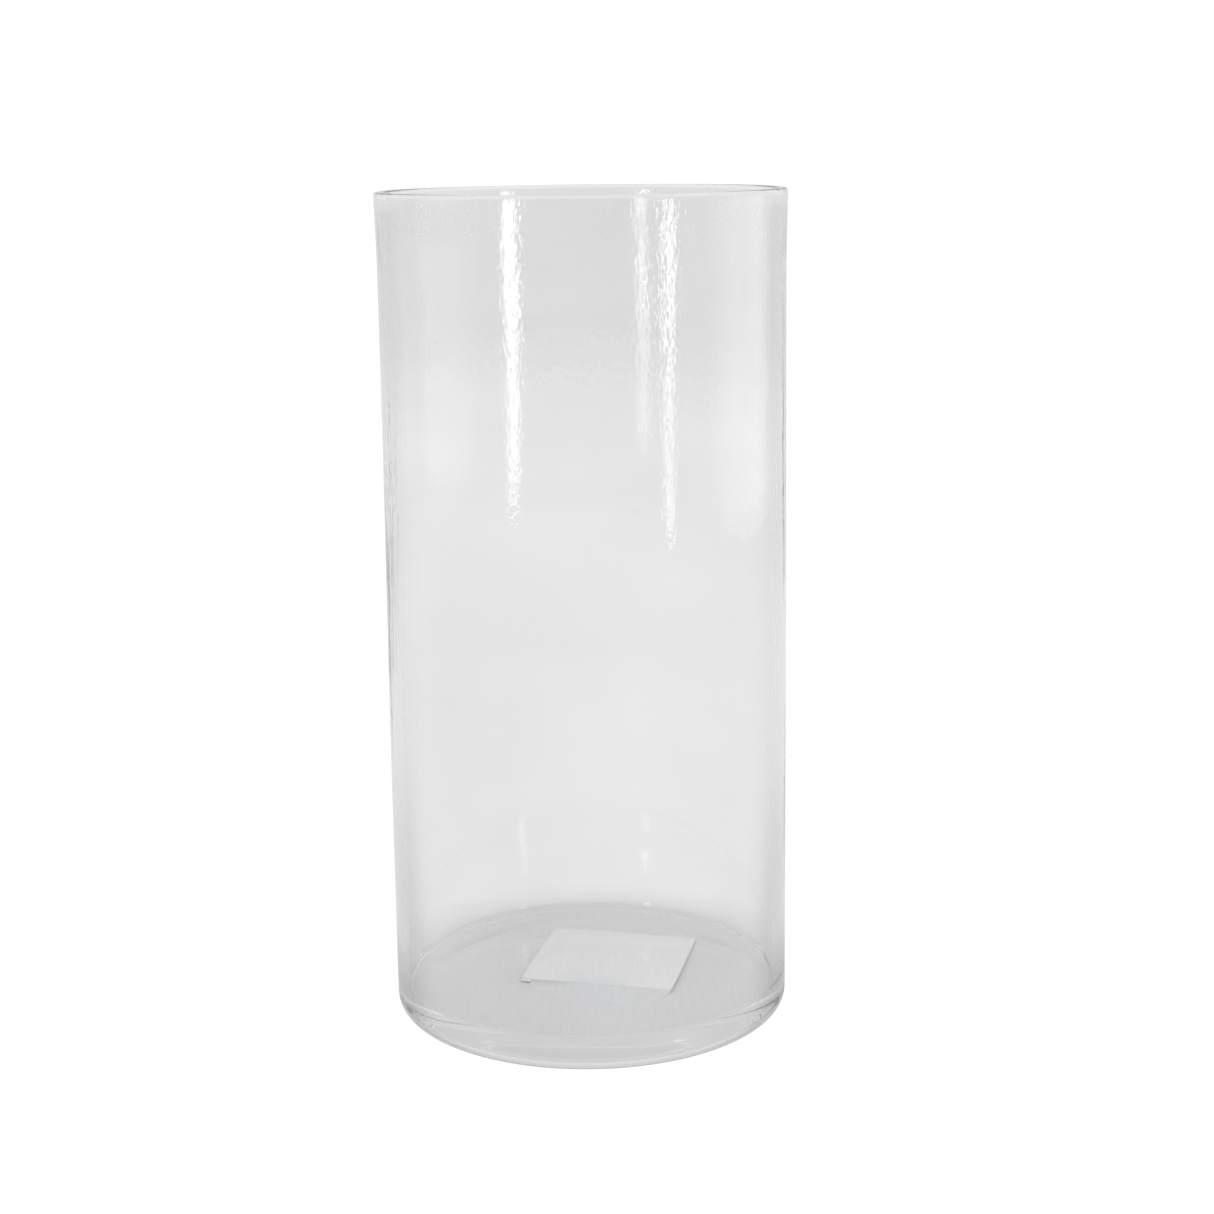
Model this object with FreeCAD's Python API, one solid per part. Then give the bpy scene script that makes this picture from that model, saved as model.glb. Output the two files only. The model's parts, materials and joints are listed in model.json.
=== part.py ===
"""Glass cylinder vase with a paper shelf label stuck under its base.

Frame: millimetres, +Z up out of the mouth, origin on the vase's axis in the plane it stands on.
+X is to the right and +Y to the back when the front edge of the label faces the viewer.

Pieces, each a solid in a node of its own:
  glass_vessel    the one-piece pressed and fire-polished glass cylinder
  label_adhesive  the gum film on the domed underside, bare in front of the paper
  label_paper     the square paper label held by that film, printed side down
"""

import FreeCAD, Part
import math
import os

# ---- driving dimensions of the glass ----
OUTER_DIAMETER = 121.0
HEIGHT = 249.0
WALL = 3.8
BASE_THICKNESS = 8.7  # at the middle of the floor, where the glass is thinnest
DOME_RISE = 1.3  # the underside is a shallow dome, so the vase stands on a ring
FOOT_RING_WIDTH = 8.0  # from the outer wall's face to where the dome begins

# ---- rounding ----
RIM_ROUND = 1.2
FLOOR_ROUND = 2.0  # inside, where the wall meets the floor
HEEL_ROUND = 5.5  # outside, where the wall meets the foot

# ---- label ----
LABEL_WIDTH = 48.0
LABEL_DEPTH = 47.0
LABEL_CORNER_ROUND = 1.0
LABEL_CENTRE_X = 6.0
LABEL_CENTRE_Y = 16.0
LABEL_TURN = -13.0  # degrees about +Z
PAPER_THICKNESS = 0.12
FILM_THICKNESS = 0.05
FILM_TONGUE = 15.5  # how far the bare film reaches in front of the paper
FILM_TONGUE_SIDE_GAP = 4.0  # the tongue starts this far in from the label's left edge

# ---- values worked out from those ----
OUTER_RADIUS = OUTER_DIAMETER / 2
INNER_RADIUS = OUTER_RADIUS - WALL
FLOOR_Z = DOME_RISE + BASE_THICKNESS
DOME_EDGE_RADIUS = OUTER_RADIUS - FOOT_RING_WIDTH
DOME_RADIUS = (DOME_EDGE_RADIUS**2 + DOME_RISE**2) / (2 * DOME_RISE)
DOME_CENTRE = FreeCAD.Vector(0, 0, DOME_RISE - DOME_RADIUS)
BLOCK_HEIGHT = 3 * DOME_RISE  # of the blocks that the label's layers are cut from

AXIS_POINT = FreeCAD.Vector(0, 0, 0)
UP = FreeCAD.Vector(0, 0, 1)
TO_BACK = FreeCAD.Vector(0, 1, 0)
FULL_TURN = 360
MATCH = 0.01  # tolerance when an edge is looked up by its radius and height


def ring_edges(solid, radius, height):
    """The circular edges of a turned solid that have this radius at this height."""
    found = []
    for edge in solid.Edges:
        if edge.Degenerated or not isinstance(edge.Curve, Part.Circle):
            continue
        curve = edge.Curve
        same_radius = abs(curve.Radius - radius) < MATCH
        same_height = abs(curve.Center.z - height) < MATCH
        if same_radius and same_height:
            found.append(edge)
    return found


def dome_height(radius):
    """How high the domed underside is at that distance from the axis."""
    return DOME_CENTRE.z + math.sqrt(DOME_RADIUS**2 - radius**2)


def glass_vessel():
    """One turned solid: straight wall, thick floor, domed underside, then its rounded corners."""
    dome_points = [(r, dome_height(r)) for r in (0, DOME_EDGE_RADIUS / 2, DOME_EDGE_RADIUS)]
    corners = [
        (DOME_EDGE_RADIUS, 0),
        (OUTER_RADIUS, 0),
        (OUTER_RADIUS, HEIGHT),
        (INNER_RADIUS, HEIGHT),
        (INNER_RADIUS, FLOOR_Z),
        (0, FLOOR_Z),
        (0, DOME_RISE),
    ]
    dome = Part.Arc(*[FreeCAD.Vector(radius, 0, height) for radius, height in dome_points]).toShape()
    rest = Part.makePolygon([FreeCAD.Vector(radius, 0, height) for radius, height in corners])
    outline = Part.Wire([dome] + rest.Edges)
    solid = Part.Face(outline).revolve(AXIS_POINT, UP, FULL_TURN)
    rounds = [
        (OUTER_RADIUS, 0, HEEL_ROUND),
        (OUTER_RADIUS, HEIGHT, RIM_ROUND),
        (INNER_RADIUS, HEIGHT, RIM_ROUND),
        (INNER_RADIUS, FLOOR_Z, FLOOR_ROUND),
    ]
    for radius, height, rounding in rounds:
        solid = solid.makeFillet(rounding, ring_edges(solid, radius, height))
    return solid


def place_label(solid):
    """Turn a label piece made about the origin and move it to the label's place."""
    solid.rotate(AXIS_POINT, UP, LABEL_TURN)
    solid.translate(FreeCAD.Vector(LABEL_CENTRE_X, LABEL_CENTRE_Y, 0))
    return solid


def sheet_block():
    """The label's rectangle with rounded corners, centred on the origin and taller than the dome."""
    corner = FreeCAD.Vector(-LABEL_WIDTH / 2, -LABEL_DEPTH / 2, -DOME_RISE)
    block = Part.makeBox(LABEL_WIDTH, LABEL_DEPTH, BLOCK_HEIGHT, corner)
    upright = [edge for edge in block.Edges if abs(edge.tangentAt(edge.FirstParameter).z) > 1 - MATCH]
    return block.makeFillet(LABEL_CORNER_ROUND, upright)


def tongue_block():
    """The bare film in front of the paper: a segment of a circle that laps under the sheet."""
    front_y = -LABEL_DEPTH / 2 + LABEL_CORNER_ROUND
    left = FreeCAD.Vector(-LABEL_WIDTH / 2 + FILM_TONGUE_SIDE_GAP, front_y, -DOME_RISE)
    right = FreeCAD.Vector(LABEL_WIDTH / 2 - LABEL_CORNER_ROUND, front_y, -DOME_RISE)
    nose = FreeCAD.Vector((left.x + right.x) / 2, -LABEL_DEPTH / 2 - FILM_TONGUE, -DOME_RISE)
    bow = Part.Arc(left, nose, right).toShape()
    chord = Part.LineSegment(right, left).toShape()
    face = Part.Face(Part.Wire([bow, chord]))
    return face.extrude(UP * BLOCK_HEIGHT)


def layer_under_dome(block, depth, thickness):
    """The part of a block between two spheres that follow the dome, the first that deep under it."""
    upper = Part.makeSphere(DOME_RADIUS - depth, DOME_CENTRE, TO_BACK)
    lower = Part.makeSphere(DOME_RADIUS - depth - thickness, DOME_CENTRE, TO_BACK)
    return place_label(block).common(upper).cut(lower)


def label_adhesive():
    """The gum film, in contact with the domed underside of the glass."""
    block = sheet_block().fuse(tongue_block()).removeSplitter()
    return layer_under_dome(block, 0, FILM_THICKNESS)


def label_paper():
    """The paper, in contact with the lower face of the film."""
    return layer_under_dome(sheet_block(), FILM_THICKNESS, PAPER_THICKNESS)


def as_one_solid(shape):
    """The single solid that a shape holds."""
    solids = shape.Solids
    if len(solids) != 1 or not solids[0].isValid():
        raise ValueError("each piece has to be one valid solid")
    return solids[0]


PIECES = {
    "glass_vessel": glass_vessel,
    "label_adhesive": label_adhesive,
    "label_paper": label_paper,
}

os.makedirs("parts", exist_ok=True)
for node, make in PIECES.items():
    piece = as_one_solid(make())
    piece.exportStep("parts/" + node + ".step")
    box = piece.BoundBox
    print(node, "volume", round(piece.Volume, 2), "height", round(box.ZMin, 3), "to", round(box.ZMax, 3))
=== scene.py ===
"""Glass cylinder vase with a label under its base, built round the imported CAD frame.

Metres, +Z up, origin on the axis in the plane the vase stands on. Three pieces replace the three CAD
nodes: the glass has the slight draft, the waves and the ripples of a real wall, the paper hangs down at
its front left corner, and the gum shows only where it is bare.
"""

import json
import math
import bmesh
import bpy
import numpy as np
from mathutils import Matrix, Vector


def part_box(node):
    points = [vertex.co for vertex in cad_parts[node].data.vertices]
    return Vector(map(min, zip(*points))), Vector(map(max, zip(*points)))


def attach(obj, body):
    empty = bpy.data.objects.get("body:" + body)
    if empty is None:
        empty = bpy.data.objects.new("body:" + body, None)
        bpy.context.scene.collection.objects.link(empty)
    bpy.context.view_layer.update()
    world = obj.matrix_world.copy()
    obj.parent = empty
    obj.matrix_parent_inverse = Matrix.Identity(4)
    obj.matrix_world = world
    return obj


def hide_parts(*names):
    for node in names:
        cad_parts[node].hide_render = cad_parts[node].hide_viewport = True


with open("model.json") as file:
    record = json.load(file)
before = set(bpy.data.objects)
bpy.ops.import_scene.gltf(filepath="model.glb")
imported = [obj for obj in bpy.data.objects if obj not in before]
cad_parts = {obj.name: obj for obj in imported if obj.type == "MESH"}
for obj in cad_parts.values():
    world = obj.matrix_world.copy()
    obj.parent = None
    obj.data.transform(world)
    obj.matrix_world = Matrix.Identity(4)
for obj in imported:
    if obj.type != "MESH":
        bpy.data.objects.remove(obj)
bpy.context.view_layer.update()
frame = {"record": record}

MM = 0.001
SEED = 11

# ---- sizes read from the frame ----
LOW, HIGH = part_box("glass_vessel")
HEIGHT = HIGH[2] - LOW[2]
CAD_RADIUS = (HIGH[0] - LOW[0]) / 2
MOUNTS = {mount["name"]: mount for mount in frame["record"]["mounts"]}
INNER_RADIUS = MOUNTS["mouth"]["dims"]["r_mm"] * MM
STRAIGHT_BORE = MOUNTS["mouth"]["dims"]["length_mm"] * MM

# ---- the glass's section, as the CAD solid has it ----
RIM_ROUND = 1.2 * MM
FLOOR_ROUND = 2.0 * MM
HEEL_ROUND = 5.5 * MM
FOOT_RING_WIDTH = 8.0 * MM
DOME_RISE = 1.3 * MM
DOME_EDGE_RADIUS = CAD_RADIUS - FOOT_RING_WIDTH
DOME_RADIUS = (DOME_EDGE_RADIUS**2 + DOME_RISE**2) / (2 * DOME_RISE)
FLOOR_Z = HEIGHT - RIM_ROUND - STRAIGHT_BORE - FLOOR_ROUND

# ---- how the real glass departs from it ----
SKIN_INSET = 0.30 * MM  # keeps the ripples inside the CAD box
TOP_DRAFT = 0.5 * MM  # the outside is this much smaller in radius under the rim
RIM_FLARE = 0.35 * MM  # and opens out again by this much at the rim
RIM_FLARE_DEPTH = 22 * MM
DRAFT_SHARES = (0.25, 0.85)  # the shares of the height over which the draft comes in
INNER_WAVINESS = 1.5  # the inside's waves, as a share of the outside's
BROAD_WAVES = {"count": 10, "turns": (1, 5), "length": (0.12, 0.50), "slope": 0.003}
BAND_WAVES = {"count": 24, "turns": (8, 24), "length": (0.10, 0.50), "slope": 0.003}
RIPPLE_WAVES = {"count": 60, "turns": (24, 70), "length": (0.012, 0.05), "slope": 0.005}
FLOOR_WAVES = {"count": 8, "turns": (0, 3), "length": (0.02, 0.08), "slope": 0.012}
LOW_RIPPLE_WAVES = 0.25  # the ripple waves' height low down, as a share of their height by the rim
RIPPLE_WAVE_SHARES = (0.55, 0.95)  # the shares of the height over which they grow

# ---- how finely its mesh is divided ----
COLUMNS = 240
WALL_ROWS = 170
DOME_ROWS = 20
RING_ROWS = 3
FLOOR_ROWS = 16
CORNER_ROWS = 10
RIM_CORNER_ROWS = 6
PAPER_GRID = (48, 48)  # columns and rows
FILM_GRID = (64, 24)

# ---- the glass's look; a grain is in cells per metre along X, Y and Z ----
NOISE_SPREAD = (0.3, 0.7)  # nearly all of a noise texture's values lie between these
GLASS_IOR = 1.5
CLEAREST = 0.985
CLOUDIEST = 0.955
CLOUD_GRAIN = (16.0, 16.0, 10.0)
WORN_CLEARNESS = 0.90  # in the scratches of the inner floor
WEAR_GRAIN = (900.0, 70.0, 900.0)
WEAR_TURN = 0.1  # in radians about Z
WEAR_SPREAD = (0.45, 0.75)
EDGE_CLEARNESS_AND_SHADE = 0.80  # what is left where the outside is seen edge on: partly the longer path through the glass, partly painted shade
LOW_EDGE_CLEARNESS_AND_SHADE = 0.54  # and near the base, where more of it is painted shade
EDGE_FACING = (0.42, 0.70)  # the Layer Weight over which that comes in
LOW_SHARES = (0.15, 0.40)  # and the shares of the height over which near the base ends
RIM_SHARES = (0.975, 0.990)  # and over which the darker edges stop under the rim
STREAK_GRAIN = (160.0, 160.0, 9.0)
STREAK_DEPTH = 0.05 * MM
STREAK_SHARES = (0.10, 0.30)  # the shares of the height over which the streaks come in
RIPPLE_GRAIN = (900.0, 900.0, 450.0)
RIPPLE_DEPTH = 0.05 * MM
RIPPLE_SHARES = (0.25, 0.95)  # and over which the fine ripples do
SIDE_RIPPLE = 0.3  # the fine ripples' strength at the sides, as a share of the front's
SIDE_SHARES = (0.55, 0.80)  # the shares of the radius over which they weaken
GLASS_SPECK = {"spacing": 36 * MM, "radius": 0.45 * MM, "darkness": 0.25}
FLOOR_SHARE = FLOOR_Z / HEIGHT
MIDDLE_OF_WALL = (CAD_RADIUS + INNER_RADIUS) / 2

# ---- label, as the CAD solids have it ----
LABEL_WIDTH = 48.0 * MM
LABEL_DEPTH = 47.0 * MM
LABEL_TURN = math.radians(-13.0)
LABEL_CENTRE = (6.0 * MM, 16.0 * MM)
FILM_TONGUE = 15.5 * MM
FILM_TONGUE_SIDE_GAP = 4.0 * MM
FILM_THICKNESS = 0.05 * MM
PAPER_THICKNESS = 0.12 * MM

# ---- how the label's meshes depart from it ----
FILM_LAP = 0.3 * MM  # how much of the film is left under the paper
SHEET_GAP = 0.01 * MM  # left clear above and below each sheet
CORNER_DROOP = 0.7 * MM
DROOP_RIGHT_END = 4 * MM  # right of the label's middle
DROOP_BACK_END = 8 * MM  # in front of the label's middle

# ---- the label's look ----
PAPER_SHADE = (0.625, 0.625, 0.620)
PAPER_LIGHT = (0.665, 0.665, 0.660)
PAPER_ROUGHNESS = 0.8
# painted shade: bluish and darker over the middle of the paper's front
PAPER_PAINTED_SHADE = (0.545, 0.555, 0.575)
PAINTED_SHADE_STRENGTH = 0.9
PAINTED_SHADE_WIDTHS = (4 * MM, 17 * MM)  # it weakens over these distances from the paper's middle
PAINTED_SHADE_BACK = -0.2 * LABEL_DEPTH
PAPER_SPECK = {"spacing": 9 * MM, "radius": 0.4 * MM, "darkness": 0.35}
PAPER_SPECK_COLOUR = (0.3, 0.3, 0.29)
FIBRE_GRAIN = (900.0, 900.0, 900.0)
FIBRE_DEPTH = 0.03 * MM
COCKLE_GRAIN = (120.0, 120.0, 120.0)
COCKLE_DEPTH = 0.25 * MM
GUM_SHADE = (0.530, 0.540, 0.558)
GUM_LIGHT = (0.555, 0.565, 0.583)
GUM_ROUGHNESS = 0.55
# painted shadow of the paper's drooping corner on the bare gum
GUM_PAINTED_SHADOW = (0.40, 0.405, 0.415)
GUM_SHADOW_ACROSS = (-20 * MM, -2 * MM)  # that painted shadow fades out over these distances across the label
GUM_SHADOW_ALONG = 5 * MM  # and this far in front of the paper
GUM_GRAIN = (260.0, 260.0, 260.0)
GUM_DEPTH = 0.1 * MM

# ---- camera: where the vase is seen from ----
CAMERA_DISTANCE = 0.6647
CAMERA_HEIGHT = 0.2657
CAMERA_TILT = math.radians(11.97)
CAMERA_YAW = math.radians(0.53)
CAMERA_ROLL = math.radians(-0.69)
CAMERA_LENS = 66.72  # in mm, as the sensor's width is
SENSOR_WIDTH = 36.0
CAMERA_NEAR = 0.01
CAMERA_FAR = 100.0

# ---- stage ----
SKY = 1.0
SKY_OVERHEAD_EXTRA = 0.30
OVERHEAD = (0.5, 0.85)  # the heights of a direction over which that comes in
WHITE_FLOOR = 0.90
WHITE_MOTTLE = 0.01
WHITE_MOTTLE_GRAIN = (3.0, 3.0, 3.0)
GREY_FLOOR_PAINTED_SHADOW = 0.535  # painted shadow under the vase
GREY_FLOOR_NEAR = 0.735  # round it
GREY_FLOOR_FAR = 0.65  # a few metres away
PAINTED_SHADOW_REACH = (1.1 * CAD_RADIUS, 1.9 * CAD_RADIUS)  # where the painted shadow becomes the second tone
FAR_REACH = (0.9, 2.6)  # where the second becomes the third
GREY_MOTTLE = 0.03
GREY_MOTTLE_GRAIN = (2.2, 2.2, 2.2)
SURROUND_RADIUS = 30.0
GREY_SURROUND = 0.755
SURROUND_TOP = 0.85  # how bright it is well above the horizon, as a share of the rest
SURROUND_FALL = (0.05 * SURROUND_RADIUS, 0.25 * SURROUND_RADIUS)
SURROUND_MOTTLE = 0.04
SURROUND_MOTTLE_GRAIN = (0.08, 0.08, 0.08)
FLOOR_REACH = 40.0
WHITE_FLOOR_DROP = 0.05 * MM  # under the vase's foot
GREY_FLOOR_DROP = 0.30 * MM

# ---- lights: azimuths are in degrees from the camera's side, towards the right ----
STRIP_RADIANCE = 6.0
STRIPS = {
    "strip_left": {"azimuth": -39, "distance": 0.85, "base_z": 0.040, "width": 0.120, "height": 0.24},
    "strip_right": {"azimuth": 47, "distance": 0.83, "base_z": 0.020, "width": 0.095, "height": 0.26},
}
STRIP_GRAIN = (9.0, 55.0, 1.0)  # cells over the strip's width and height
CORE_EDGE = (0.24, 0.32)  # from the strip's middle, as shares of its width
EDGE_WANDER = 0.9  # how far the noise moves that edge from its lowest value to its highest, in widths
MARGIN_STRENGTH = 0.12
STRIP_FALL = (0.30, 0.55)  # the shares of its height over which it weakens downwards
LOW_STRIP_STRENGTH = 0.45
SCREEN_RADIANCE = 0.19
SCREEN_WIDTHS = (0.5, 0.7, 0.9)
SCREEN_HEIGHT = 0.27
SCREEN_AZIMUTH = 100
SCREEN_DISTANCE = 0.90
SCREEN_STEP = 0.01  # each screen stands this much behind the one before it
MANY_BOUNCES = 96  # light runs a long way inside the wall


# ======================= materials =======================


def new_material(name):
    """An empty node material with its output and one Principled shader joined."""
    material = bpy.data.materials.new(name)
    material.use_nodes = True
    tree = material.node_tree
    tree.nodes.clear()
    output = tree.nodes.new("ShaderNodeOutputMaterial")
    shader = tree.nodes.new("ShaderNodeBsdfPrincipled")
    tree.links.new(shader.outputs["BSDF"], output.inputs["Surface"])
    return material, tree, shader


def place_coordinates(tree, scale, turn=0.0, offset=(0.0, 0.0, 0.0)):
    """Object coordinates, which are metres in the row frame, scaled, turned about Z and moved."""
    source = tree.nodes.new("ShaderNodeTexCoord")
    mapping = tree.nodes.new("ShaderNodeMapping")
    mapping.inputs["Location"].default_value = offset
    mapping.inputs["Rotation"].default_value = (0.0, 0.0, turn)
    mapping.inputs["Scale"].default_value = scale
    tree.links.new(source.outputs["Object"], mapping.inputs["Vector"])
    return mapping.outputs["Vector"]


def object_axes(tree):
    """The X, Y and Z of a point of the piece, in metres in the row frame."""
    source = tree.nodes.new("ShaderNodeTexCoord")
    split = tree.nodes.new("ShaderNodeSeparateXYZ")
    tree.links.new(source.outputs["Object"], split.inputs["Vector"])
    return split.outputs["X"], split.outputs["Y"], split.outputs["Z"]


def noise(tree, vector, detail=2.0, roughness=0.5):
    """A noise texture's value at those coordinates."""
    texture = tree.nodes.new("ShaderNodeTexNoise")
    texture.inputs["Scale"].default_value = 1.0
    texture.inputs["Detail"].default_value = detail
    texture.inputs["Roughness"].default_value = roughness
    tree.links.new(vector, texture.inputs["Vector"])
    return texture.outputs["Fac"]


def ramp(tree, value, low_colour, high_colour):
    """A colour ramp on a noise value, from its usual lowest to its usual highest."""
    node = tree.nodes.new("ShaderNodeValToRGB")
    colours = (low_colour, high_colour)
    for element, position, colour in zip(node.color_ramp.elements, NOISE_SPREAD, colours):
        element.position = position
        element.color = (*colour, 1.0)
    tree.links.new(value, node.inputs["Fac"])
    return node.outputs["Color"]


def bump(tree, height, distance, under=None):
    """A bump from a height value, on top of another normal if one is given."""
    node = tree.nodes.new("ShaderNodeBump")
    node.inputs["Distance"].default_value = distance
    node.inputs["Strength"].default_value = 1.0
    tree.links.new(height, node.inputs["Height"])
    if under is not None:
        tree.links.new(under, node.inputs["Normal"])
    return node.outputs["Normal"]


def height_share(tree):
    """The height above the foot as a share of the vase's height."""
    height = object_axes(tree)[2]
    share = tree.nodes.new("ShaderNodeMapRange")
    share.inputs["From Max"].default_value = HEIGHT
    tree.links.new(height, share.inputs["Value"])
    return share.outputs["Result"]


def on_outside(tree):
    """1 on the glass's outer wall and underside, 0 on its inner wall and floor."""
    x, y, z = object_axes(tree)
    flat = tree.nodes.new("ShaderNodeCombineXYZ")
    tree.links.new(x, flat.inputs["X"])
    tree.links.new(y, flat.inputs["Y"])
    radius = tree.nodes.new("ShaderNodeVectorMath")
    radius.operation = "LENGTH"
    tree.links.new(flat.outputs["Vector"], radius.inputs[0])
    beyond_wall = maths(tree, "GREATER_THAN", radius.outputs["Value"], MIDDLE_OF_WALL)
    under_floor = maths(tree, "LESS_THAN", z, FLOOR_Z / 2)
    return maths(tree, "MAXIMUM", beyond_wall, under_floor)


def mixed(tree, share, first, second):
    """A number where the share is 0 and a linked value where it is 1."""
    node = tree.nodes.new("ShaderNodeMix")
    node.inputs["A"].default_value = first
    tree.links.new(second, node.inputs["B"])
    tree.links.new(share, node.inputs["Factor"])
    return node.outputs["Result"]


def maths(tree, operation, first, second):
    """Two values, or a value and a number, put through a Math node."""
    node = tree.nodes.new("ShaderNodeMath")
    node.operation = operation
    for socket, value in zip(node.inputs, (first, second)):
        if isinstance(value, (int, float)):
            socket.default_value = value
        else:
            tree.links.new(value, socket)
    return node.outputs["Value"]


def smooth_range(tree, value, low, high, start, end):
    """start where the value is at or under low, end from high on, and a smooth change between."""
    node = tree.nodes.new("ShaderNodeMapRange")
    node.interpolation_type = "SMOOTHSTEP"
    node.inputs["From Min"].default_value = low
    node.inputs["From Max"].default_value = high
    node.inputs["To Min"].default_value = start
    node.inputs["To Max"].default_value = end
    tree.links.new(value, node.inputs["Value"])
    return node.outputs["Result"]


def glass_clearness(tree):
    """How much light the surface lets through: a faint cloud, streaked on the floor, and less edge on,
    where the longer path and partly painted shade darken it, most near the base.
    """
    share = height_share(tree)
    outside = on_outside(tree)
    cloud = noise(tree, place_coordinates(tree, CLOUD_GRAIN), detail=3.0)
    clearness = smooth_range(tree, cloud, *NOISE_SPREAD, CLOUDIEST, CLEAREST)
    wear_place = place_coordinates(tree, WEAR_GRAIN, turn=WEAR_TURN)
    wear = noise(tree, wear_place, detail=3.0, roughness=0.7)
    worn = smooth_range(tree, wear, *WEAR_SPREAD, 1.0, WORN_CLEARNESS)
    low_down = smooth_range(tree, share, FLOOR_SHARE, 1.2 * FLOOR_SHARE, 1.0, 0.0)
    on_floor = maths(tree, "MULTIPLY", low_down, maths(tree, "SUBTRACT", 1.0, outside))
    floor_wear = mixed(tree, on_floor, 1.0, worn)
    facing = tree.nodes.new("ShaderNodeLayerWeight")
    facing.inputs["Blend"].default_value = 0.5
    edge_on = smooth_range(tree, facing.outputs["Facing"], *EDGE_FACING, 0.0, 1.0)
    under_rim = smooth_range(tree, share, *RIM_SHARES, 1.0, 0.0)
    # Painted shade: the edges seen edge on darken more near the base, in place of the vase's shadow.
    edge_clearness_and_shade = smooth_range(tree, share, *LOW_SHARES, LOW_EDGE_CLEARNESS_AND_SHADE, EDGE_CLEARNESS_AND_SHADE)
    edge_share = maths(tree, "MULTIPLY", maths(tree, "MULTIPLY", outside, under_rim), edge_on)
    edge = mixed(tree, edge_share, 1.0, edge_clearness_and_shade)
    return maths(tree, "MULTIPLY", maths(tree, "MULTIPLY", clearness, floor_wear), edge)


def specks(tree, spacing, radius, darkness):
    """1 all over but for a few tiny specks, that dark, as dust and seeds in the glass are."""
    cells = tree.nodes.new("ShaderNodeTexVoronoi")
    cells.inputs["Scale"].default_value = 1.0
    share = 1.0 / spacing
    tree.links.new(place_coordinates(tree, (share, share, share)), cells.inputs["Vector"])
    edge = radius / spacing
    return smooth_range(tree, cells.outputs["Distance"], 0.6 * edge, edge, darkness, 1.0)


def ripple_strength(tree, share):
    """How strong the fine ripples are: more towards the rim, and less on the left and the right."""
    off_middle = maths(tree, "ABSOLUTE", object_axes(tree)[0], 0.0)
    low, high = [side * CAD_RADIUS for side in SIDE_SHARES]
    at_side = smooth_range(tree, off_middle, low, high, 1.0, SIDE_RIPPLE)
    near_rim = smooth_range(tree, share, *RIPPLE_SHARES, 0.0, 1.0)
    return maths(tree, "MULTIPLY", near_rim, at_side)


def glass_material():
    """Clear glass: upright streaks and ripples from forming, a faint cloud, a worn floor, some specks."""
    material, tree, shader = new_material("clear_glass")
    shader.inputs["Transmission Weight"].default_value = 1.0
    shader.inputs["IOR"].default_value = GLASS_IOR
    shader.inputs["Roughness"].default_value = 0.0
    speck = specks(tree, **GLASS_SPECK)
    tree.links.new(maths(tree, "MULTIPLY", glass_clearness(tree), speck), shader.inputs["Base Color"])
    share = height_share(tree)
    on_wall = smooth_range(tree, share, *STREAK_SHARES, 0.0, 1.0)
    ripple = noise(tree, place_coordinates(tree, RIPPLE_GRAIN), detail=1.0)
    rippled = maths(tree, "MULTIPLY", ripple, ripple_strength(tree, share))
    streaks = noise(tree, place_coordinates(tree, STREAK_GRAIN), detail=2.0)
    normal = bump(tree, maths(tree, "MULTIPLY", streaks, on_wall), STREAK_DEPTH)
    normal = bump(tree, rippled, RIPPLE_DEPTH, under=normal)
    tree.links.new(normal, shader.inputs["Normal"])
    return material


def label_coordinates(tree):
    """The label's own coordinates in metres, across and along, with its centre at 0."""
    cosine, sine = math.cos(-LABEL_TURN), math.sin(-LABEL_TURN)
    x, y = LABEL_CENTRE
    offset = (-(x * cosine - y * sine), -(x * sine + y * cosine), 0.0)
    split = tree.nodes.new("ShaderNodeSeparateXYZ")
    vector = place_coordinates(tree, (1.0, 1.0, 1.0), turn=-LABEL_TURN, offset=offset)
    tree.links.new(vector, split.inputs["Vector"])
    return split.outputs["X"], split.outputs["Y"]


def blended(tree, share, first, second):
    """The first colour where the share is 0 and the second where it is 1."""
    node = tree.nodes.new("ShaderNodeMixRGB")
    tree.links.new(share, node.inputs["Fac"])
    tree.links.new(first, node.inputs["Color1"])
    node.inputs["Color2"].default_value = (*second, 1.0)
    return node.outputs["Color"]


def paper_material():
    """The back of a label: off-white, fine fibre, a little cockled, with a bluish painted shade over the
    middle of its front.
    """
    material, tree, shader = new_material("label_paper")
    fibre = noise(tree, place_coordinates(tree, FIBRE_GRAIN), detail=4.0, roughness=0.7)
    colour = ramp(tree, fibre, PAPER_SHADE, PAPER_LIGHT)
    across, along = label_coordinates(tree)
    off_middle = maths(tree, "ABSOLUTE", across, 0.0)
    middle = smooth_range(tree, off_middle, *PAINTED_SHADE_WIDTHS, 1.0, 0.0)
    front = smooth_range(tree, along, -LABEL_DEPTH / 2, PAINTED_SHADE_BACK, PAINTED_SHADE_STRENGTH, 0.0)
    front_shade = maths(tree, "MULTIPLY", middle, front)
    # Painted shade: bluish over the middle of the paper's front.
    colour = blended(tree, front_shade, colour, PAPER_PAINTED_SHADE)
    dark = maths(tree, "SUBTRACT", 1.0, specks(tree, **PAPER_SPECK))
    colour = blended(tree, dark, colour, PAPER_SPECK_COLOUR)
    tree.links.new(colour, shader.inputs["Base Color"])
    shader.inputs["Roughness"].default_value = PAPER_ROUGHNESS
    cockle = noise(tree, place_coordinates(tree, COCKLE_GRAIN), detail=2.0)
    normal = bump(tree, cockle, COCKLE_DEPTH)
    normal = bump(tree, fibre, FIBRE_DEPTH, under=normal)
    tree.links.new(normal, shader.inputs["Normal"])
    return material


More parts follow.
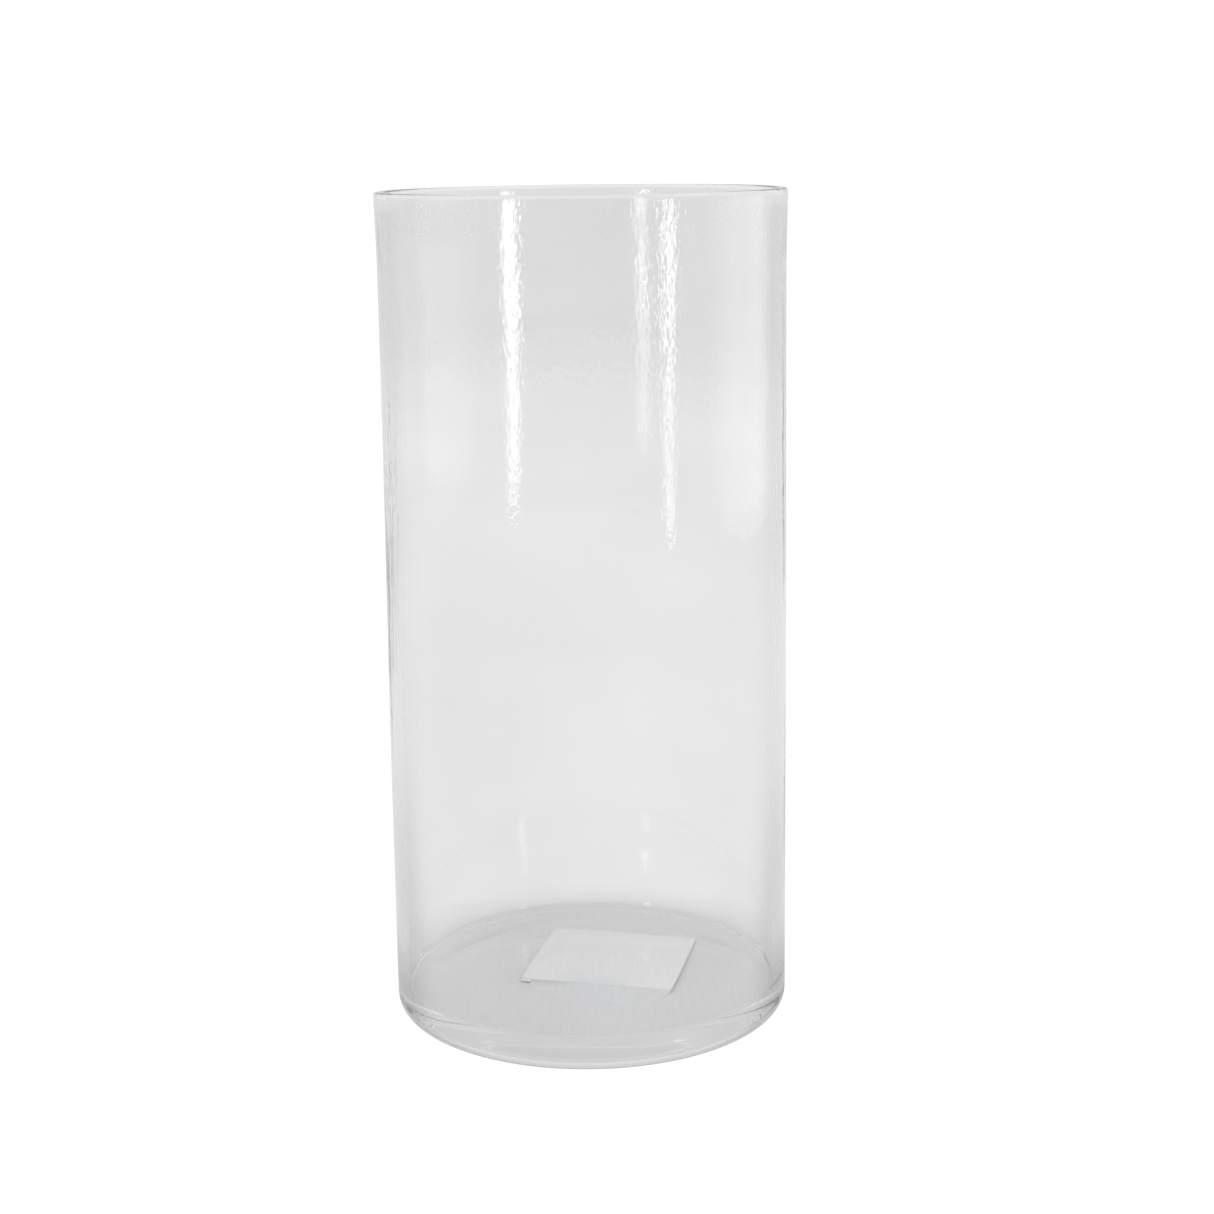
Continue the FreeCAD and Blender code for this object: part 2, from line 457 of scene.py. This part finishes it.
def film_material():
    """Dried label gum: a pale bluish, uneven film, with a painted shadow beside the paper's drooping
    corner.
    """
    material, tree, shader = new_material("label_gum")
    patches = noise(tree, place_coordinates(tree, GUM_GRAIN), detail=4.0, roughness=0.6)
    colour = ramp(tree, patches, GUM_SHADE, GUM_LIGHT)
    across, along = label_coordinates(tree)
    paper_front = -LABEL_DEPTH / 2
    to_left = smooth_range(tree, across, *GUM_SHADOW_ACROSS, 1.0, 0.0)
    shadow_by_paper = smooth_range(tree, along, paper_front - GUM_SHADOW_ALONG, paper_front, 0.0, 1.0)
    # Painted shadow of the drooping corner on the gum beside it.
    colour = blended(tree, maths(tree, "MULTIPLY", to_left, shadow_by_paper), colour, GUM_PAINTED_SHADOW)
    tree.links.new(colour, shader.inputs["Base Color"])
    shader.inputs["Roughness"].default_value = GUM_ROUGHNESS
    normal = bump(tree, patches, GUM_DEPTH)
    tree.links.new(normal, shader.inputs["Normal"])
    return material


# ======================= glass mesh =======================


def arc(centre, radius, start, end, steps):
    """Points (radius, height) on an arc of the section, start and end in degrees, both included."""
    angles = np.radians(np.linspace(start, end, steps + 1))
    return [(centre[0] + radius * math.cos(a), centre[1] + radius * math.sin(a)) for a in angles]


def straight(start, end, steps):
    """Points along a straight run of the section, without its two ends."""
    shares = np.linspace(0.0, 1.0, steps + 1)[1:-1]
    return [(start[0] + (end[0] - start[0]) * s, start[1] + (end[1] - start[1]) * s) for s in shares]


def dome_height(radius):
    """How high the domed underside is at that distance from the axis, and 0 on the foot ring."""
    if radius >= DOME_EDGE_RADIUS:
        return 0.0
    return DOME_RISE - DOME_RADIUS + math.sqrt(DOME_RADIUS**2 - radius**2)


def glass_section():
    """Half the glass's section, from the middle of the underside round to the middle of the floor."""
    outer = CAD_RADIUS - SKIN_INSET
    rim_middle = HEIGHT - RIM_ROUND
    dome_radii = np.linspace(0.0, DOME_EDGE_RADIUS, DOME_ROWS + 1)[1:]
    parts = [
        [(radius, dome_height(radius)) for radius in dome_radii],
        straight((DOME_EDGE_RADIUS, 0.0), (outer - HEEL_ROUND, 0.0), RING_ROWS),
        arc((outer - HEEL_ROUND, HEEL_ROUND), HEEL_ROUND, -90, 0, CORNER_ROWS),
        straight((outer, HEEL_ROUND), (outer, rim_middle), WALL_ROWS),
        arc((outer - RIM_ROUND, rim_middle), RIM_ROUND, 0, 90, RIM_CORNER_ROWS),
        arc((INNER_RADIUS + RIM_ROUND, rim_middle), RIM_ROUND, 90, 180, RIM_CORNER_ROWS),
        straight((INNER_RADIUS, rim_middle), (INNER_RADIUS, FLOOR_Z + FLOOR_ROUND), WALL_ROWS),
        arc((INNER_RADIUS - FLOOR_ROUND, FLOOR_Z + FLOOR_ROUND), FLOOR_ROUND, 0, -90, CORNER_ROWS),
        straight((INNER_RADIUS - FLOOR_ROUND, FLOOR_Z), (0.0, FLOOR_Z), FLOOR_ROWS),
    ]
    return np.array([point for part in parts for point in part])


def waves(rng, angles, heights, count, turns, length, slope):
    """A sum of random travelling waves over the wall, with about that slope at its steepest.

    turns is the range of whole waves round the glass, length the range of wavelengths along it.
    """
    total = np.zeros((len(heights), len(angles)))
    for _ in range(count):
        around = rng.integers(turns[0], turns[1] + 1)
        along = 2 * math.pi / rng.uniform(*length) * rng.choice([-1.0, 1.0])
        phase = rng.uniform(0, 2 * math.pi)
        steepness = math.hypot(around / CAD_RADIUS, along)
        size = slope / steepness / math.sqrt(count)
        total += size * np.cos(around * angles[None, :] + along * heights[:, None] + phase)
    return total


def smooth_step(value, low, high):
    """0 below low, 1 above high and a smooth rise between."""
    share = np.clip((value - low) / (high - low), 0.0, 1.0)
    return share * share * (3 - 2 * share)


def wall_departure(rng, angles, heights):
    """How far a wall's face stands off its ideal cylinder: broad waves, bands and ripples."""
    broad = waves(rng, angles, heights, **BROAD_WAVES)
    bands = waves(rng, angles, heights, **BAND_WAVES)
    ripples = waves(rng, angles, heights, **RIPPLE_WAVES)
    near_rim = smooth_step(heights / HEIGHT, *RIPPLE_WAVE_SHARES)
    size = LOW_RIPPLE_WAVES + (1 - LOW_RIPPLE_WAVES) * near_rim
    return broad + bands + ripples * size[:, None]


def draft(heights):
    """The outside's loss of radius towards the top, less its flare at the rim."""
    loss = TOP_DRAFT * smooth_step(heights / HEIGHT, *DRAFT_SHARES)
    gain = RIM_FLARE * smooth_step(heights, HEIGHT - RIM_FLARE_DEPTH, HEIGHT)
    return loss - gain


def glass_points():
    """The turned and rippled points, one row for each section point."""
    rng = np.random.default_rng(SEED)
    section = glass_section()
    radii = section[:, 0][:, None]
    heights = section[:, 1]
    angles = np.linspace(0.0, 2 * math.pi, COLUMNS, endpoint=False)
    outside = np.arange(len(section)) < len(section) // 2
    upright = smooth_step(heights, HEEL_ROUND * 0.5, HEEL_ROUND * 3)
    upright_inside = smooth_step(heights, FLOOR_Z, FLOOR_Z + 0.1 * HEIGHT)
    outer_face = wall_departure(rng, angles, heights) * upright[:, None]
    inner_face = INNER_WAVINESS * wall_departure(rng, angles, heights) * upright_inside[:, None]
    departure = np.where(outside[:, None], outer_face, inner_face)
    lost = np.where(outside, draft(heights), 0.0)[:, None]
    spread = radii + np.clip(departure, -SKIN_INSET, SKIN_INSET) - lost
    level = waves(rng, angles, radii[:, 0], **FLOOR_WAVES)
    on_floor = (~outside) & (heights < FLOOR_Z + 0.2 * FLOOR_ROUND)
    fade = smooth_step(radii[:, 0], 0.0, 0.4 * INNER_RADIUS)
    lift = np.where(on_floor[:, None], level * fade[:, None], 0.0)
    points = np.empty((len(section), COLUMNS, 3))
    points[:, :, 0] = spread * np.cos(angles)
    points[:, :, 1] = spread * np.sin(angles)
    points[:, :, 2] = heights[:, None] + lift
    return points


def turned_mesh(name, points, bottom, top):
    """A closed mesh from rows of points round the axis, with a pole at each end."""
    rows, columns = points.shape[:2]
    vertices = [tuple(p) for p in points.reshape(-1, 3)]
    first_pole = len(vertices)
    vertices += [(0.0, 0.0, bottom), (0.0, 0.0, top)]
    faces = []
    for row in range(rows - 1):
        for column in range(columns):
            after = (column + 1) % columns
            here, there = row * columns, (row + 1) * columns
            faces.append((here + column, here + after, there + after, there + column))
    last = (rows - 1) * columns
    for column in range(columns):
        after = (column + 1) % columns
        faces.append((first_pole, after, column))
        faces.append((first_pole + 1, last + column, last + after))
    mesh = bpy.data.meshes.new(name)
    mesh.from_pydata(vertices, [], faces)
    return mesh


def add_piece(name, mesh, material):
    """A smooth-shaded object of that mesh in the scene, with its material."""
    mesh.materials.append(material)
    mesh.validate()
    mesh.polygons.foreach_set("use_smooth", [True] * len(mesh.polygons))
    mesh.update()
    piece = bpy.data.objects.new(name, mesh)
    bpy.context.scene.collection.objects.link(piece)
    return piece


def make_glass():
    """The glass vessel."""
    mesh = turned_mesh("vase_glass", glass_points(), DOME_RISE, FLOOR_Z)
    piece = add_piece("vase_glass", mesh, glass_material())
    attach(piece, "root")
    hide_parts("glass_vessel")
    # The floor and the label are lit as through perfectly clear glass, so the vase casts no shadow.
    piece.visible_shadow = False
    piece.visible_diffuse = False
    return piece


# ======================= label =======================


def label_place(across, along):
    """A point of the label's own plane, its centre at 0, in the row frame."""
    x = LABEL_CENTRE[0] + across * math.cos(LABEL_TURN) - along * math.sin(LABEL_TURN)
    y = LABEL_CENTRE[1] + across * math.sin(LABEL_TURN) + along * math.cos(LABEL_TURN)
    return x, y


def under_dome(across, along, depth):
    """The height of a point of the label that lies that far under the glass's dome."""
    x, y = label_place(across, along)
    return dome_height(math.hypot(x, y)) - depth


def sheet_mesh(name, outline_low, outline_high, grid, top, thickness):
    """A thin closed sheet between two edge curves given over the share across, its top as high as told."""
    columns, rows = grid
    vertices = []
    for side in (0, 1):
        for row in range(rows + 1):
            along_share = row / rows
            for column in range(columns + 1):
                share = column / columns
                across = (share - 0.5) * LABEL_WIDTH
                along = outline_low(share) + (outline_high(share) - outline_low(share)) * along_share
                x, y = label_place(across, along)
                vertices.append((x, y, top(across, along) - side * thickness))
    faces = []
    width = columns + 1
    below = width * (rows + 1)
    for row in range(rows):
        for column in range(columns):
            upper = row * width + column
            faces.append((upper, upper + 1, upper + width + 1, upper + width))
            lower = upper + below
            faces.append((lower, lower + width, lower + width + 1, lower + 1))
    border = list(range(columns))
    border += [row * width + columns for row in range(rows)]
    border += [rows * width + column for column in range(columns, 0, -1)]
    border += [row * width for row in range(rows, 0, -1)]
    for here, after in zip(border, border[1:] + border[:1]):
        faces.append((here, here + below, after + below, after))
    mesh = bpy.data.meshes.new(name)
    mesh.from_pydata(vertices, [], faces)
    return mesh


def paper_droop(across, along):
    """How far the paper hangs below the film: its front left corner has let go."""
    to_left = max(0.0, (DROOP_RIGHT_END - across) / (LABEL_WIDTH / 2))
    to_front = max(0.0, (-along - DROOP_BACK_END) / (LABEL_DEPTH / 2 - DROOP_BACK_END))
    return CORNER_DROOP * min(1.0, to_left) * to_front**2


def make_paper():
    """The paper, close against the film but for its drooping front left corner."""
    top_depth = FILM_THICKNESS + SHEET_GAP
    mesh = sheet_mesh(
        "vase_label_paper",
        lambda share: -LABEL_DEPTH / 2,
        lambda share: LABEL_DEPTH / 2,
        PAPER_GRID,
        lambda across, along: under_dome(across, along, top_depth + paper_droop(across, along)),
        PAPER_THICKNESS - 2 * SHEET_GAP,
    )
    piece = add_piece("vase_label_paper", mesh, paper_material())
    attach(piece, "root")
    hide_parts("label_paper")
    return piece


def tongue_front(share):
    """The film's front edge: a bow in front of the paper's."""
    left = FILM_TONGUE_SIDE_GAP / LABEL_WIDTH
    inside = (share - left) / (1 - left)
    bow = math.sqrt(max(0.0, 1 - (2 * inside - 1) ** 2)) if inside > 0 else 0.0
    return -LABEL_DEPTH / 2 - FILM_TONGUE * bow


def make_film():
    """The gum film on the glass. Wetted out under the paper it is clear, so only its bare part shows."""
    mesh = sheet_mesh(
        "vase_label_gum",
        tongue_front,
        lambda share: -LABEL_DEPTH / 2 + FILM_LAP,
        FILM_GRID,
        lambda across, along: under_dome(across, along, SHEET_GAP),
        FILM_THICKNESS - 2 * SHEET_GAP,
    )
    piece = add_piece("vase_label_gum", mesh, film_material())
    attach(piece, "root")
    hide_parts("label_adhesive")
    piece.visible_shadow = False
    piece.visible_diffuse = False
    return piece


# ======================= stage =======================


def white_floor_material():
    """A pale matt sweep with a trace of tone."""
    material, tree, shader = new_material("floor_white")
    mottle = noise(tree, place_coordinates(tree, WHITE_MOTTLE_GRAIN), detail=3.0)
    lowest, highest = WHITE_FLOOR - WHITE_MOTTLE, WHITE_FLOOR + WHITE_MOTTLE
    tone = smooth_range(tree, mottle, *NOISE_SPREAD, lowest, highest)
    tree.links.new(tone, shader.inputs["Base Color"])
    shader.inputs["Roughness"].default_value = 1.0
    shader.inputs["Specular IOR Level"].default_value = 0.0
    return material


def grey_floor_material():
    """What the glass shows of the floor: a painted shadow right under the vase, darker a few metres off,
    and mottled.
    """
    material, tree, shader = new_material("floor_grey")
    source = tree.nodes.new("ShaderNodeTexCoord")
    distance = tree.nodes.new("ShaderNodeVectorMath")
    distance.operation = "LENGTH"
    tree.links.new(source.outputs["Object"], distance.inputs[0])
    away = distance.outputs["Value"]
    # Painted shadow: the floor is darker right under the vase.
    near = smooth_range(tree, away, *PAINTED_SHADOW_REACH, GREY_FLOOR_PAINTED_SHADOW, GREY_FLOOR_NEAR)
    loss = smooth_range(tree, away, *FAR_REACH, 1.0, GREY_FLOOR_FAR / GREY_FLOOR_NEAR)
    mottle = noise(tree, place_coordinates(tree, GREY_MOTTLE_GRAIN), detail=3.0)
    tone = smooth_range(tree, mottle, *NOISE_SPREAD, 1 - GREY_MOTTLE, 1 + GREY_MOTTLE)
    total = maths(tree, "MULTIPLY", maths(tree, "MULTIPLY", near, loss), tone)
    tree.links.new(total, shader.inputs["Base Color"])
    shader.inputs["Roughness"].default_value = 1.0
    shader.inputs["Specular IOR Level"].default_value = 0.0
    return material


def floor_plane(name, material, drop):
    """A wide floor plane that far under the vase's foot."""
    sides = [(-1, -1), (1, -1), (1, 1), (-1, 1)]
    corners = [(FLOOR_REACH * x, FLOOR_REACH * y, 0.0) for x, y in sides]
    mesh = bpy.data.meshes.new(name)
    mesh.from_pydata(corners, [], [(0, 1, 2, 3)])
    floor = add_piece(name, mesh, material)
    floor.location.z = -drop
    return floor


def make_floors():
    """A white floor that is seen directly, and a light grey one that is seen in and through the glass."""
    white = floor_plane("floor_white", white_floor_material(), WHITE_FLOOR_DROP)
    white.visible_diffuse = False
    white.visible_glossy = False
    white.visible_transmission = False
    white.visible_shadow = False
    grey = floor_plane("floor_grey", grey_floor_material(), GREY_FLOOR_DROP)
    grey.visible_camera = False


def surround_material():
    """Light grey walls that glow softly, with a trace of tone, and a darker top."""
    material = bpy.data.materials.new("surround_grey")
    material.use_nodes = True
    tree = material.node_tree
    tree.nodes.clear()
    output = tree.nodes.new("ShaderNodeOutputMaterial")
    glow = tree.nodes.new("ShaderNodeEmission")
    mottle = noise(tree, place_coordinates(tree, SURROUND_MOTTLE_GRAIN), detail=2.0)
    lowest, highest = [share * GREY_SURROUND for share in (1 - SURROUND_MOTTLE, 1 + SURROUND_MOTTLE)]
    tone = smooth_range(tree, mottle, *NOISE_SPREAD, lowest, highest)
    height = object_axes(tree)[2]
    fall = smooth_range(tree, height, *SURROUND_FALL, 1.0, SURROUND_TOP)
    tree.links.new(maths(tree, "MULTIPLY", tone, fall), glow.inputs["Strength"])
    tree.links.new(glow.outputs["Emission"], output.inputs["Surface"])
    return material


def make_surround():
    """A far sphere that is seen only in and through the glass, as light grey as the floor is there."""
    mesh = bpy.data.meshes.new("surround")
    sphere = bmesh.new()
    bmesh.ops.create_icosphere(sphere, subdivisions=4, radius=SURROUND_RADIUS)
    sphere.to_mesh(mesh)
    sphere.free()
    surround = add_piece("surround", mesh, surround_material())
    surround.visible_camera = False
    surround.visible_diffuse = False
    surround.visible_shadow = False


def make_world():
    """White studio surroundings, brighter overhead."""
    world = bpy.data.worlds.new("studio")
    bpy.context.scene.world = world
    world.use_nodes = True
    tree = world.node_tree
    background = tree.nodes["Background"]
    source = tree.nodes.new("ShaderNodeTexCoord")
    split = tree.nodes.new("ShaderNodeSeparateXYZ")
    tree.links.new(source.outputs["Generated"], split.inputs["Vector"])
    brightness = smooth_range(tree, split.outputs["Z"], *OVERHEAD, SKY, SKY + SKY_OVERHEAD_EXTRA)
    background.inputs["Color"].default_value = (1.0, 1.0, 1.0, 1.0)
    tree.links.new(brightness, background.inputs["Strength"])


def ragged(data):
    """Give a strip a bright core with a broken edge, a weaker margin and a weaker lower part."""
    data.use_nodes = True
    tree = data.node_tree
    place = tree.nodes.new("ShaderNodeNewGeometry").outputs["Parametric"]
    split = tree.nodes.new("ShaderNodeSeparateXYZ")
    tree.links.new(place, split.inputs["Vector"])
    mapping = tree.nodes.new("ShaderNodeMapping")
    mapping.inputs["Scale"].default_value = STRIP_GRAIN
    tree.links.new(place, mapping.inputs["Vector"])
    broken = noise(tree, mapping.outputs["Vector"], detail=2.0, roughness=0.6)
    off_core = maths(tree, "ABSOLUTE", maths(tree, "SUBTRACT", split.outputs["X"], 0.5), 0.0)
    wander = maths(tree, "MULTIPLY", maths(tree, "SUBTRACT", broken, 0.5), EDGE_WANDER)
    strength = smooth_range(tree, maths(tree, "ADD", off_core, wander), *CORE_EDGE, 1.0, MARGIN_STRENGTH)
    fall = smooth_range(tree, split.outputs["Y"], *STRIP_FALL, LOW_STRIP_STRENGTH, 1.0)
    tree.links.new(maths(tree, "MULTIPLY", strength, fall), tree.nodes["Emission"].inputs["Strength"])


def strip_light(name, azimuth, distance, base_z, width, height, radiance):
    """An upright strip standing at that azimuth from the camera's side and turned to the vase.

    It shows only in and through the glass: it lights no matt surface and the camera doesn't see it.
    """
    turn = math.radians(azimuth)
    data = bpy.data.lights.new(name, "AREA")
    data.shape = "RECTANGLE"
    data.size = width
    data.size_y = height
    data.energy = radiance * math.pi * width * height
    strip = bpy.data.objects.new(name, data)
    bpy.context.scene.collection.objects.link(strip)
    strip.location = (distance * math.sin(turn), -distance * math.cos(turn), base_z + height / 2)
    strip.rotation_euler = (math.radians(90), 0.0, turn)
    strip.visible_camera = False
    strip.visible_diffuse = False
    return data


def make_lights():
    """Two bright strips whose reflections streak the glass, and dim wide screens on the right."""
    for name, place in STRIPS.items():
        ragged(strip_light(name, radiance=STRIP_RADIANCE, **place))
    for number, width in enumerate(SCREEN_WIDTHS):
        name = "screen_right_" + str(number)
        distance = SCREEN_DISTANCE + SCREEN_STEP * number
        strip_light(name, SCREEN_AZIMUTH, distance, 0.0, width, SCREEN_HEIGHT, SCREEN_RADIANCE)


def make_camera():
    """The camera in front of the vase, a little above its rim and looking slightly down."""
    data = bpy.data.cameras.new("camera")
    data.lens = CAMERA_LENS
    data.sensor_width = SENSOR_WIDTH
    data.clip_start = CAMERA_NEAR
    data.clip_end = CAMERA_FAR
    camera = bpy.data.objects.new("camera", data)
    bpy.context.scene.collection.objects.link(camera)
    turn = Matrix.Rotation(-CAMERA_YAW, 4, "Z") @ Matrix.Rotation(math.pi / 2 - CAMERA_TILT, 4, "X")
    roll = Matrix.Rotation(CAMERA_ROLL, 4, "Z")
    place = Matrix.Translation((0.0, -CAMERA_DISTANCE, CAMERA_HEIGHT))
    camera.matrix_world = place @ turn @ roll
    bpy.context.scene.camera = camera


make_glass()
make_film()
make_paper()
make_floors()
make_surround()
make_world()
make_lights()
make_camera()
bpy.context.scene.view_settings.view_transform = "Standard"
bpy.context.scene.cycles.max_bounces = MANY_BOUNCES
bpy.context.scene.cycles.glossy_bounces = MANY_BOUNCES
bpy.context.scene.cycles.transmission_bounces = MANY_BOUNCES

bpy.context.view_layer.update()
